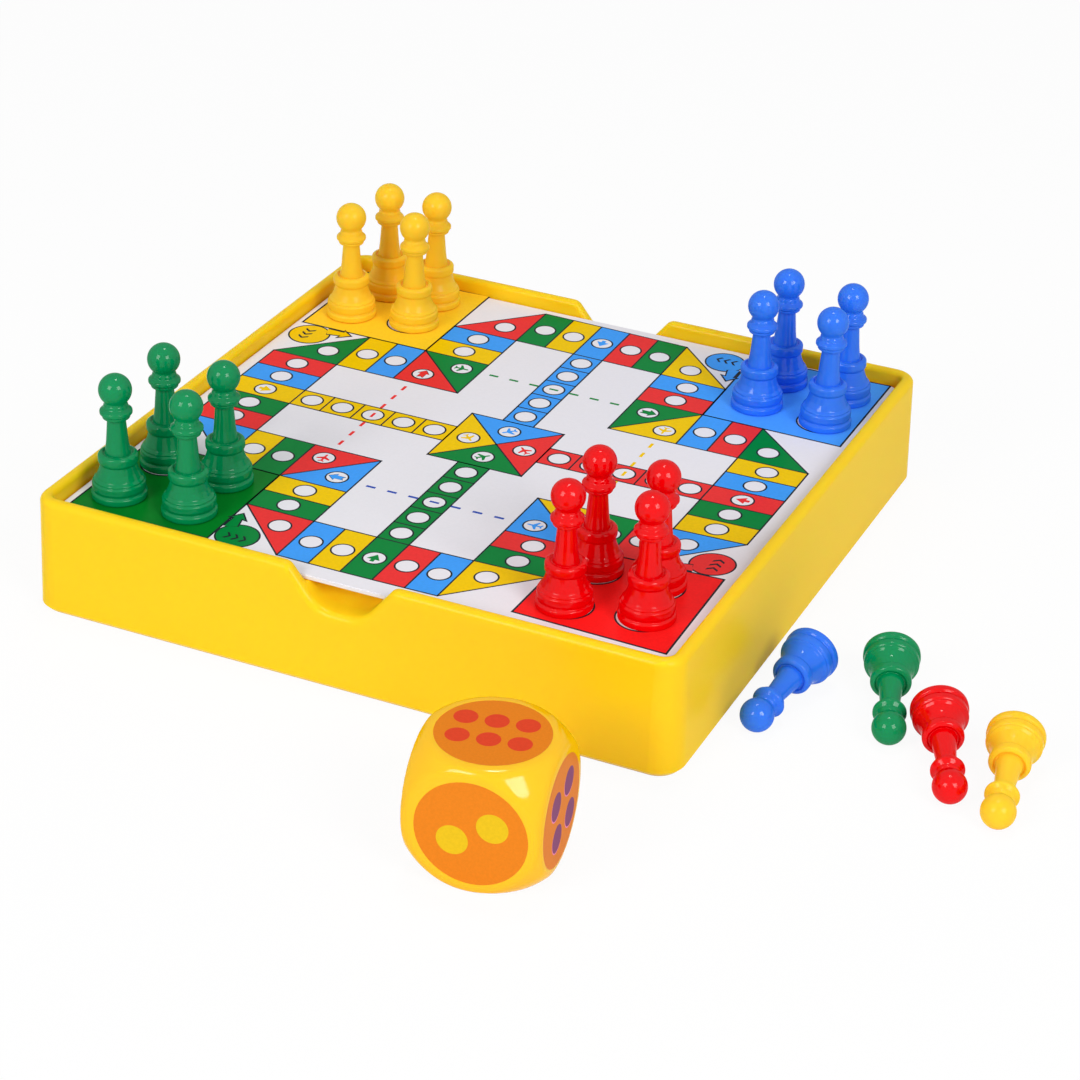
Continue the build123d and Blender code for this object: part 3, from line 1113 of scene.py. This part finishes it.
@dataclass
class Pawns:
    """Sixteen standing pawns and four lying ones, turned from one profile.

    The profile gives radius, height and the radius of each corner, in millimetres. The
    head is turned as a ball of ball_mm inside the head_mm that the solid allows it. A
    lying pawn has its team, its head's centre from above and the heading of its head
    in degrees from +X; it touches the table with its foot's rim and its head.
    """

    materials: Materials
    height_mm: float = 29.3
    foot_mm: float = 6.15
    foot_band_mm: float = 1.5
    head_mm: float = 3.75
    ball_mm: float = 3.64
    ball_steps: int = 26
    corner_steps: int = 6
    sides: int = 64
    profile: tuple[Triple, ...] = (
        (0.0, 0.0, 0.0),
        (6.12, 0.0, 0.5),
        (6.12, 1.5, 0.7),
        (5.62, 1.85, 0.2),
        (5.62, 2.1, 0.2),
        (5.88, 2.6, 0.4),
        (5.86, 3.85, 0.55),
        (5.5, 4.2, 0.15),
        (5.48, 4.55, 0.35),
        (4.95, 5.1, 0.8),
        (4.35, 6.5, 3.0),
        (3.92, 8.15, 0.3),
        (4.38, 8.7, 0.75),
        (4.38, 10.4, 1.0),
        (3.5, 10.85, 0.3),
        (3.1, 10.45, 0.1),
        (2.82, 10.45, 0.1),
        (2.42, 13.5, 6.0),
        (1.99, 18.9, 0.3),
        (3.0, 19.1, 0.25),
        (3.08, 19.6, 0.2),
        (3.0, 19.8, 0.1),
        (3.56, 20.15, 0.3),
        (3.56, 20.85, 0.5),
        (2.75, 21.6, 0.4),
        (2.62, 22.25, 0.25),
        (2.42, 22.5, 0.1),
    )
    lying: tuple[tuple[Team, Point, float], ...] = (
        (Team.BLUE, (83.4, -49.3), 263.4),
        (Team.GREEN, (109.4, -41.4), 287.8),
        (Team.RED, (127.3, -56.4), 293.3),
        (Team.YELLOW, (138.6, -60.5), 279.1),
    )
    verts: list[Vector] = field(init=False)
    faces: Faces = field(init=False)

    def build(self) -> None:
        """Makes every pawn."""
        self.verts, self.faces = lathe(self.outline(), self.sides)
        for team in Team:
            for n in range(1, PAWNS_PER_TEAM + 1):
                low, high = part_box(f"pawn_{team.value}_{n}")
                middle = (low + high) / 2
                place = Matrix.Translation((middle.x, middle.y, low.z))
                self.make(f"pawn_{team.value}_{n}", team, place)
        for team, spot, heading in self.lying:
            self.make(f"pawn_{team.value}_loose", team, self.laid(spot, heading))

    def outline(self) -> list[Point]:
        """The whole profile in metres, with the ball of the head.

        Returns:
            Radius and height of each point, from the bottom up.
        """
        path = rounded_path(self.profile, self.corner_steps)
        middle = self.height_mm - self.head_mm
        start = -math.acos(path[-1][0] / self.ball_mm)
        for n in range(1, self.ball_steps):
            angle = start + (math.pi / 2 - start) * n / self.ball_steps
            path.append((self.ball_mm * math.cos(angle), middle + self.ball_mm * math.sin(angle)))
        path.append((0.0, middle + self.ball_mm))
        return [(radius * MM, height * MM) for radius, height in path]

    def laid(self, spot: Point, heading: float) -> Matrix:
        """The place of a pawn that lies on its foot's rim and its head.

        Args:
            spot: Its head's centre from above, in millimetres.
            heading: Where its head points, in degrees from +X.

        Returns:
            The pawn's placing.
        """
        middle = self.height_mm - self.head_mm
        length = middle - self.foot_band_mm
        reach = math.hypot(length, self.foot_mm)
        tip = math.acos(self.head_mm / reach) - math.atan2(length, self.foot_mm)
        turn = Matrix.Rotation(math.radians(heading), 4, "Z")
        lean = Matrix.Rotation(math.pi / 2 + tip, 4, "Y")
        head = Vector((spot[0], spot[1], self.head_mm)) * MM
        return Matrix.Translation(head) @ turn @ lean @ Matrix.Translation((0, 0, -middle * MM))

    def make(self, name: str, team: Team, place: Matrix) -> None:
        """Makes one pawn in the place of its solid.

        Args:
            name: The solid's name.
            team: Its colour.
            place: Where it goes.
        """
        moved = [place @ v for v in self.verts]
        plastic = self.materials[PAWN_PLASTICS[team]]
        piece = mesh_object(f"turned_{name}", moved, self.faces, [plastic], smooth=True)
        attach(piece, f"{name}_body")
        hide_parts(name)
        LOG.info("%s: %d faces", piece.name, len(self.faces))


@dataclass(frozen=True)
class Label:
    """One round label of the die, in millimetres and degrees.

    Attributes:
        name: The number that it shows.
        out: Which way it faces on the die.
        right: Its own right on the die.
        pips: The pips' middles.
        radius: The pips' radius.
        ink: The pips' ink.
        off: How far its middle is from the flat's.
        turn: How far its print is turned.
    """

    name: str
    out: Triple
    right: Triple
    pips: tuple[Point, ...]
    radius: float
    ink: LabelInk
    off: Point = (0.0, 0.0)
    turn: float = 0.0


# Labels are stuck on by hand, so some sit a little off the middle and off square.
DIE_LABELS = (
    Label("one", (0, 0, -1), (1, 0, 0), ((0.0, 0.0),), 3.0, LabelInk.RED),
    Label(
        "two",
        (0, -1, 0),
        (1, 0, 0),
        ((-3.65, -2.1), (4.25, 2.15)),
        3.2,
        LabelInk.YELLOW,
        off=(0.55, 0.0),
    ),
    Label("three", (-1, 0, 0), (0, -1, 0), ((-5, -5), (0, 0), (5, 5)), 2.8, LabelInk.RED),
    Label(
        "four",
        (1, 0, 0),
        (0, 1, 0),
        ((-3.0, -4.5), (5.0, -4.5), (5.0, 3.5), (-3.0, 3.5)),
        2.9,
        LabelInk.PURPLE,
        off=(0.0, -0.5),
        turn=8.0,
    ),
    Label(
        "five",
        (0, 1, 0),
        (-1, 0, 0),
        ((-5, -5), (5, -5), (0, 0), (5, 5), (-5, 5)),
        2.5,
        LabelInk.YELLOW,
    ),
    Label(
        "six",
        (0, 0, 1),
        (1, 0, 0),
        tuple((x - 0.25, y + 0.78) for x in (-6.12, 0.0, 6.12) for y in (-3.3, 3.3)),
        2.4,
        LabelInk.RED,
        turn=4.5,
    ),
)


@dataclass
class Die:
    """The big die: a ball cut flat on six sides, with a round label on each flat."""

    materials: Materials
    size_mm: float = 28.0
    ball_mm: float = 19.1
    blend_mm: float = 0.7
    centre_mm: Triple = (53.5, -114.5, 14.02)
    turn: float = 6.8
    grid: int = 36
    halvings: int = 40
    label_mm: float = 11.4
    label_sides: int = 96
    label_proud_mm: float = 0.01
    label_depth_mm: float = 0.3
    label_bevel_mm: Point = (0.08, 0.06)
    pip_layer_mm: float = 0.004
    pip_edge_mm: float = 0.06
    pip_edge_off_mm: Point = (-0.12, -0.16)
    place: Matrix = field(init=False)

    def build(self) -> None:
        """Makes the body and its labels."""
        centre = Vector(self.centre_mm) * MM
        self.place = Matrix.Translation(centre) @ Matrix.Rotation(math.radians(self.turn), 4, "Z")
        self.make_body()
        for label in DIE_LABELS:
            self.make_label(label)

    def make_body(self) -> None:
        """Makes the smooth body by finding its skin along rays from the middle."""
        verts: list[Vector] = []
        faces: Faces = []
        seen: dict[tuple[float, ...], int] = {}
        n = self.grid
        spread = [math.tan((2 * i / n - 1) * math.pi / 4) for i in range(n + 1)]
        for axis in range(3):
            for sign in (-1, 1):
                numbers = []
                for u in spread:
                    for v in spread:
                        ray = [0.0, 0.0, 0.0]
                        ray[axis] = sign
                        ray[(axis + 1) % 3] = u * sign
                        ray[(axis + 2) % 3] = v
                        key = tuple(round(c, 5) for c in ray)
                        if key not in seen:
                            seen[key] = len(verts)
                            verts.append(self.skin(Vector(ray).normalized()))
                        numbers.append(seen[key])
                for i in range(n):
                    for j in range(n):
                        a = i * (n + 1) + j
                        faces.append([numbers[k] for k in (a, a + n + 1, a + n + 2, a + 1)])
        moved = [self.place @ v for v in verts]
        plastic = self.materials[DIE_PLASTIC]
        piece = mesh_object("die_smooth_body", moved, faces, [plastic], smooth=True)
        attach(piece, "die")
        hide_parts("die_body")
        LOG.info("%s: %d faces", piece.name, len(faces))

    def skin(self, ray: Vector) -> Vector:
        """Where a ray from the middle meets the body's skin.

        Args:
            ray: A unit direction.

        Returns:
            The point, in metres.
        """
        half = self.size_mm / 2
        steep = max(abs(c) for c in ray)
        # The skin lies between these reaches, with a small round where flat and ball meet.
        near, far = 0.5 * half, 2.0 * half
        for _ in range(self.halvings):
            reach = (near + far) / 2
            flat, ball = reach * steep - half, reach - self.ball_mm
            mix = max(self.blend_mm - abs(flat - ball), 0.0) / self.blend_mm
            if max(flat, ball) + mix * mix * self.blend_mm / 4 < 0:
                near = reach
            else:
                far = reach
        return ray * near * MM

    def make_label(self, label: Label) -> None:
        """Makes one label with its pips.

        Args:
            label: The label.
        """
        out, right = Vector(label.out), Vector(label.right)
        face = self.size_mm / 2 + self.label_proud_mm
        slid = out * face + right * label.off[0] + out.cross(right) * label.off[1]
        origin = self.place @ (slid * MM)
        rotation = self.place.to_3x3()
        right = rotation @ right
        place = Placement(origin, right, (rotation @ out).cross(right), MM)
        count = self.label_sides
        wide = circle((0, 0), self.label_mm, count)
        flat = circle((0, 0), self.label_mm - self.label_bevel_mm[0], count)
        levels = ((wide, self.label_depth_mm), (wide, self.label_bevel_mm[1]), (flat, 0.0))
        verts = [place.point(c, -depth * MM) for ring, depth in levels for c in ring]
        faces = [list(reversed(range(count))), [2 * count + n for n in range(count)]]
        for k in (0, 1):
            for n in range(count):
                m = (n + 1) % count
                low, high = k * count, (k + 1) * count
                faces.append([low + n, low + m, high + m, high + n])
        paper = self.materials[LABEL_PAPER]
        disc = mesh_object(f"label_disc_{label.name}", verts, faces, [paper])
        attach(disc, "die")
        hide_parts(f"die_label_{label.name}")
        pips = InkStack(f"label_pips_{label.name}", place, layer_mm=self.pip_layer_mm)
        ink = self.materials[LABEL_INKS[label.ink]]
        for x, y in spun(list(label.pips), (0, 0), label.turn):
            if label.ink is LabelInk.PURPLE:
                shifted = (x + self.pip_edge_off_mm[0], y + self.pip_edge_off_mm[1])
                rim = circle(shifted, label.radius + self.pip_edge_mm)
                pips.add(rim, self.materials[LABEL_INKS[LabelInk.PINK]], Layer.PIP_EDGE)
            pips.add(circle((x, y), label.radius), ink, Layer.PIP)
        pips.finish("die", "label_paper")


# ----------------------------------------------------------------- the studio


@dataclass(frozen=True)
class SoftBox:
    """A rectangular lamp that faces the target.

    Attributes:
        name: The lamp's name.
        way: Its direction from the target along the camera's right, up and back.
        reach: Its distance in metres.
        size: Its width and height in metres.
        power: Its power in watts.
    """

    name: str
    way: Triple
    reach: float
    size: Point
    power: float


@dataclass
class Studio:
    """A white table, two soft boxes, a small top lamp and the camera."""

    lens_mm: float = 98.87
    film_mm: float = 36.0
    distance: float = 0.6340
    azimuth: float = 23.758
    elevation: float = 29.095
    roll: float = 1.907
    target: Triple = (0.02704, -0.03548, 0.0237)
    nearest: float = 0.01
    world_light: float = 0.34
    floor_size: float = 6.0
    floor_glow: float = 0.93
    floor_fibre_mm: float = 15.0
    floor_white: Point = (0.92, 0.95)
    lamps: tuple[SoftBox, ...] = (
        SoftBox("soft_box_left", (-0.57, 0.17, 0.80), 1.1, (0.40, 0.46), 4.7),
        SoftBox("soft_box_right", (0.47, 0.14, 0.87), 1.1, (0.42, 0.46), 5.6),
        SoftBox("top_lamp", (0.05, 0.93, 0.35), 1.2, (0.2, 0.2), 2.3),
    )

    def build(self) -> None:
        """Makes the camera, the floor, the world and the lamps."""
        scene = bpy.context.scene
        scene.view_settings.view_transform = "Standard"
        self.add_camera(scene)
        self.add_floor()
        self.add_world(scene)
        for lamp in self.lamps:
            self.add_softbox(scene, lamp)
        LOG.info("studio ready")

    def view(self) -> Matrix:
        """The camera's axes: right, up and back, with its roll.

        Returns:
            The axes as the columns of a matrix.
        """
        az, el = math.radians(self.azimuth), math.radians(self.elevation)
        back = Vector((math.sin(az) * math.cos(el), -math.cos(az) * math.cos(el), math.sin(el)))
        right = Vector((math.cos(az), math.sin(az), 0))
        tilt = math.radians(self.roll)
        rolled = right * math.cos(tilt) + back.cross(right) * math.sin(tilt)
        return Matrix((rolled, back.cross(rolled), back)).transposed()

    def add_camera(self, scene: bpy.types.Scene) -> None:
        """Adds the camera and makes it the scene's.

        Args:
            scene: The scene.
        """
        data = bpy.data.cameras.new("camera")
        data.lens = self.lens_mm
        data.sensor_width = self.film_mm
        data.sensor_fit = "HORIZONTAL"
        data.clip_start = self.nearest
        camera = bpy.data.objects.new("camera", data)
        axes = self.view()
        spot = Vector(self.target) + axes.col[2] * self.distance
        camera.matrix_world = Matrix.Translation(spot) @ axes.to_4x4()
        scene.collection.objects.link(camera)
        scene.camera = camera

    def add_floor(self) -> None:
        """Adds the white table, which shows a soft shadow."""
        half = self.floor_size / 2
        ends = ((-half, -half), (half, -half), (half, half), (-half, half))
        corners = [Vector((x, y, 0)) for x, y in ends]
        material, tree = new_surface("white_card_floor")
        seen = self.seen_by_eye(tree)
        # Card fibres are far finer, and are drawn this coarse so that they show at all. The
        # texture runs from 0 to 1 over the whole floor.
        grain = self.floor_size / (self.floor_fibre_mm * MM)
        fibre = add_node(tree, "ShaderNodeTexNoise", {"Scale": grain, "Detail": 2.0})
        tint = add_node(
            tree,
            "ShaderNodeMapRange",
            {"To Min": self.floor_white[0], "To Max": self.floor_white[1]},
            {"Value": fibre.outputs["Fac"]},
        )
        card = add_node(tree, "ShaderNodeBsdfDiffuse", None, {"Color": tint.outputs["Result"]})
        glow = add_node(tree, "ShaderNodeEmission", {"Color": (1, 1, 1, 1), "Strength": 1.0})
        share = add_node(
            tree, "ShaderNodeMath", {"operation": "MULTIPLY", 1: self.floor_glow}, {0: seen}
        )
        mixed = add_node(
            tree,
            "ShaderNodeMixShader",
            None,
            {0: share.outputs[0], 1: card.outputs[0], 2: glow.outputs[0]},
        )
        add_node(tree, "ShaderNodeOutputMaterial", None, {"Surface": mixed.outputs[0]})
        mesh_object("floor", corners, [[0, 1, 2, 3]], [material])

    def seen_by_eye(self, tree: Tree) -> Socket:
        """Tells rays that show a surface from those that only light others.

        Args:
            tree: The node tree.

        Returns:
            1 for rays from the camera and for reflected and refracted ones, or else 0.
        """
        path = add_node(tree, "ShaderNodeLightPath")
        seen = path.outputs["Is Camera Ray"]
        for kind in ("Is Glossy Ray", "Is Transmission Ray"):
            links = {0: seen, 1: path.outputs[kind]}
            seen = add_node(tree, "ShaderNodeMath", {"operation": "MAXIMUM"}, links).outputs[0]
        return seen

    def add_world(self, scene: bpy.types.Scene) -> None:
        """Adds an even white world, dimmer as a light than it looks.

        Args:
            scene: The scene.
        """
        world = bpy.data.worlds.new("white_room")
        scene.world = world
        world.use_nodes = True
        tree = world.node_tree
        tree.nodes.clear()
        strength = add_node(
            tree,
            "ShaderNodeMapRange",
            {"To Min": self.world_light, "To Max": 1.0},
            {"Value": self.seen_by_eye(tree)},
        )
        room = add_node(
            tree,
            "ShaderNodeBackground",
            {"Color": (1, 1, 1, 1)},
            {"Strength": strength.outputs["Result"]},
        )
        add_node(tree, "ShaderNodeOutputWorld", None, {"Surface": room.outputs[0]})

    def add_softbox(self, scene: bpy.types.Scene, box: SoftBox) -> None:
        """Adds a rectangular lamp.

        Args:
            scene: The scene.
            box: The lamp.
        """
        data = bpy.data.lights.new(box.name, "AREA")
        data.shape = "RECTANGLE"
        data.size, data.size_y = box.size
        data.energy = box.power
        lamp = bpy.data.objects.new(box.name, data)
        direction = (self.view() @ Vector(box.way)).normalized()
        lamp.rotation_euler = direction.to_track_quat("Z", "Y").to_euler()
        lamp.location = Vector(self.target) + direction * box.reach
        scene.collection.objects.link(lamp)


def main() -> None:
    """Loads the frame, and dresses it."""
    logging.basicConfig(level=logging.INFO, format="%(name)s %(message)s")
    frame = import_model()
    finishes = [TRAY_PLASTIC, PLATE_PLASTIC, DIE_PLASTIC, PAPER, LINE_INK, DASH_INK, LABEL_PAPER]
    for family in (PAWN_PLASTICS, TEAM_INKS, CORNER_INKS, LABEL_INKS):
        finishes += family.values()
    materials = {finish: finish.build() for finish in finishes}
    Tray(materials, frame["nodes"]).dress()
    BoardPrint(materials).build()
    Pawns(materials).build()
    Die(materials).build()
    Studio().build()


if __name__ == "__main__":
    main()
